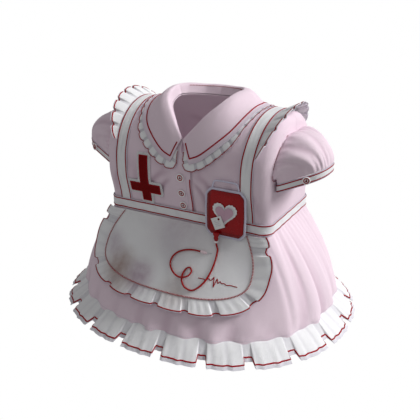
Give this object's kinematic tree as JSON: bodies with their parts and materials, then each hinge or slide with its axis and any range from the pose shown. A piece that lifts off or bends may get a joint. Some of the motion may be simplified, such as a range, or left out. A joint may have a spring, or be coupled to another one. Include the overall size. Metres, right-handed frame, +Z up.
{
  "type": "nurse uniform dress",
  "caption": "Short puff-sleeved uniform dress with pointed collar, apron, straps, ruffled hem and sewn-on cross, bag and tube ornaments, standing hollow as worn.",
  "frame": {"origin": "mid-line of the dress at the height of the shoulders, where it hangs on its wearer", "axes": "+X to the wearer's left, across the widest stretch of the hem; -Y out of the front; +Z up, along the shortest extent"},
  "size_m": [0.7699, 0.652, 0.5491],
  "materials": {
    "pink_cloth": "matt",
    "white_cloth": "matt",
    "dark_red": "matt",
    "bag_red": "glossy",
    "clear_plastic": "glossy",
    "button_shell": "glossy",
    "heart_pink": "matt",
    "card": "matt"
  },
  "bodies": {
    "root": {"apron_panel": "white_cloth", "apron_ruffle": "white_cloth", "bag_border": "clear_plastic", "bag_loop": "clear_plastic", "bag_port": "bag_red", "bag_pouch": "bag_red", "bodice_back": "pink_cloth", "bodice_front_left": "pink_cloth", "bodice_front_right": "pink_cloth", "collar": "pink_cloth", "collar_frill": "white_cloth", "connector": "card", "cross_ground": "white_cloth", "cross_patch": "dark_red", "cuff_button_left": "button_shell", "cuff_button_right": "button_shell", "cuff_left": "white_cloth", "cuff_right": "white_cloth", "front_button_1": "button_shell", "front_button_2": "button_shell", "front_button_3": "button_shell", "heart_ground": "white_cloth", "heart_pad": "heart_pink", "hem_ruffle": "white_cloth", "port_cap": "white_cloth", "shoulder_frill_left": "white_cloth", "shoulder_frill_right": "white_cloth", "skirt": "pink_cloth", "sleeve_left": "pink_cloth", "sleeve_right": "pink_cloth", "strap_left": "white_cloth", "strap_right": "white_cloth", "tag": "card", "tube": "bag_red", "waistband": "white_cloth"}
  },
  "joints": []
}
